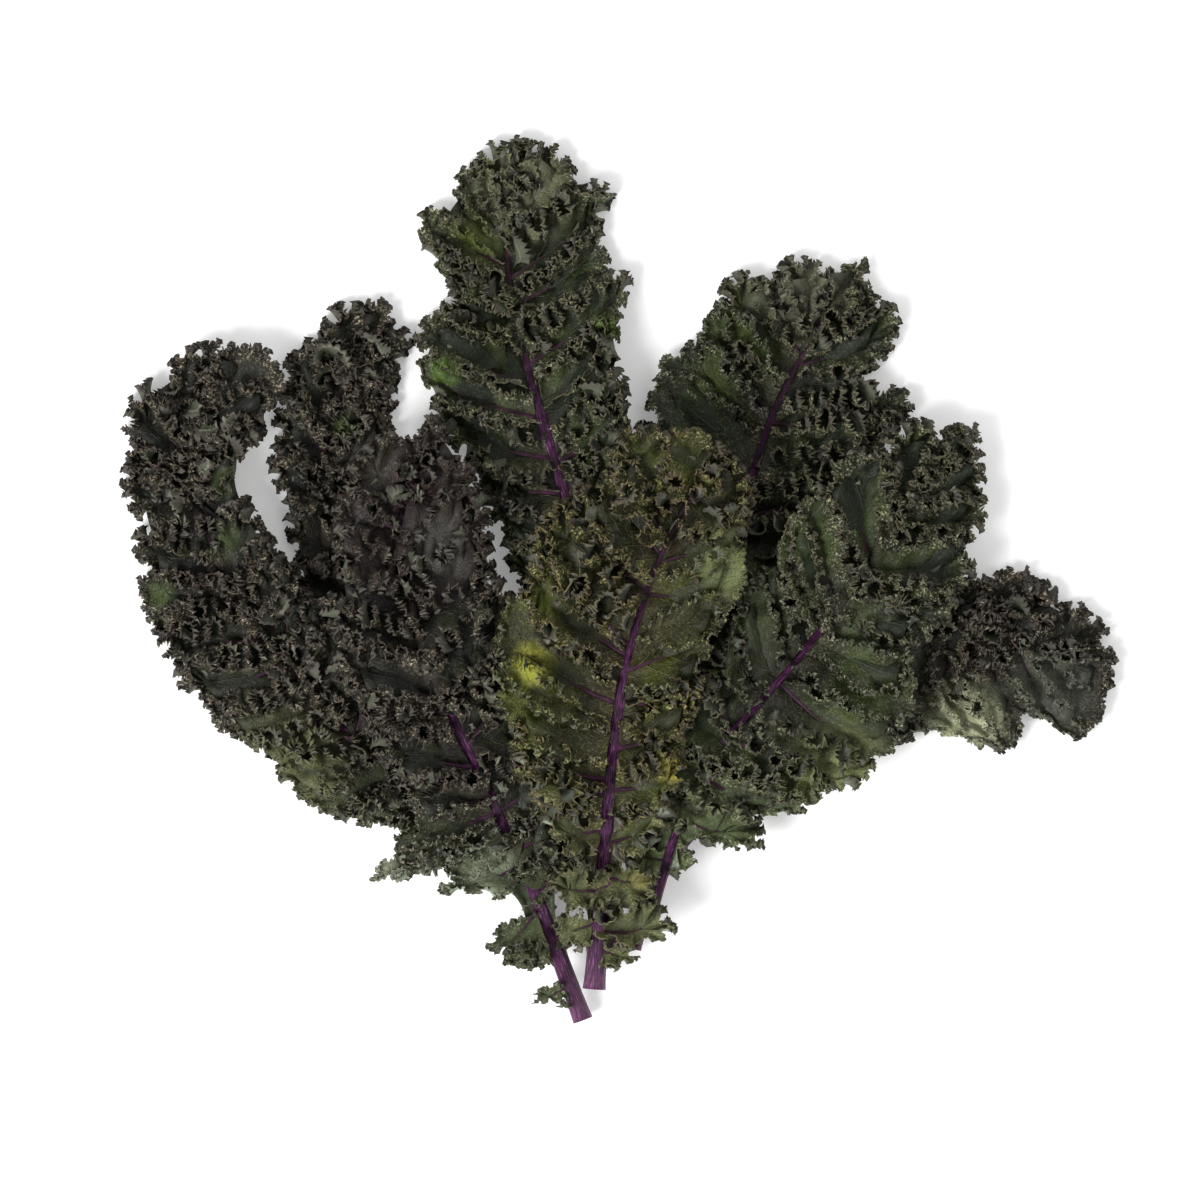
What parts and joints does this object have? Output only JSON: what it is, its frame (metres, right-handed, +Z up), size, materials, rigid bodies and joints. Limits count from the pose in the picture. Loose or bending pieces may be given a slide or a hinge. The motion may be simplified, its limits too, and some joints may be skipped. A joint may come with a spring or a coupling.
{
  "type": "purple kale bunch",
  "caption": "A loose fan of curly kale leaves with ruffled, toothed blades on purple midribs, lying flat with the cut stems gathered at one end.",
  "frame": {"origin": "on the surface that the bunch rests on, under the middle of its outline", "axes": "+Z up; +Y from the cut stem ends towards the leaf tips; +X across the fan"},
  "size_m": [0.4426, 0.3981, 0.06],
  "materials": {
    "stem_purple": "smooth waxy purple skin with paler streaks and lilac side veins",
    "blade_green": "dull grey-green leaf with a waxy bloom and purple-brown teeth",
    "blade_purple": "dull grey-green leaf, heavily flushed purple towards its rim",
    "blade_olive": "olive leaf with yellowing patches and brown-purple teeth"
  },
  "bodies": {
    "root": {"far_right_stem": "stem_purple", "far_right_blade": "blade_purple", "upper_right_stem": "stem_purple", "upper_right_blade": "blade_green", "left_middle_stem": "stem_purple", "left_middle_blade": "blade_purple", "top_centre_stem": "stem_purple", "top_centre_blade": "blade_green", "far_left_stem": "stem_purple", "far_left_blade": "blade_purple", "right_middle_stem": "stem_purple", "right_middle_blade": "blade_green", "purple_crest_stem": "stem_purple", "purple_crest_blade": "blade_purple", "centre_olive_stem": "stem_purple", "centre_olive_blade": "blade_olive"}
  },
  "joints": []
}
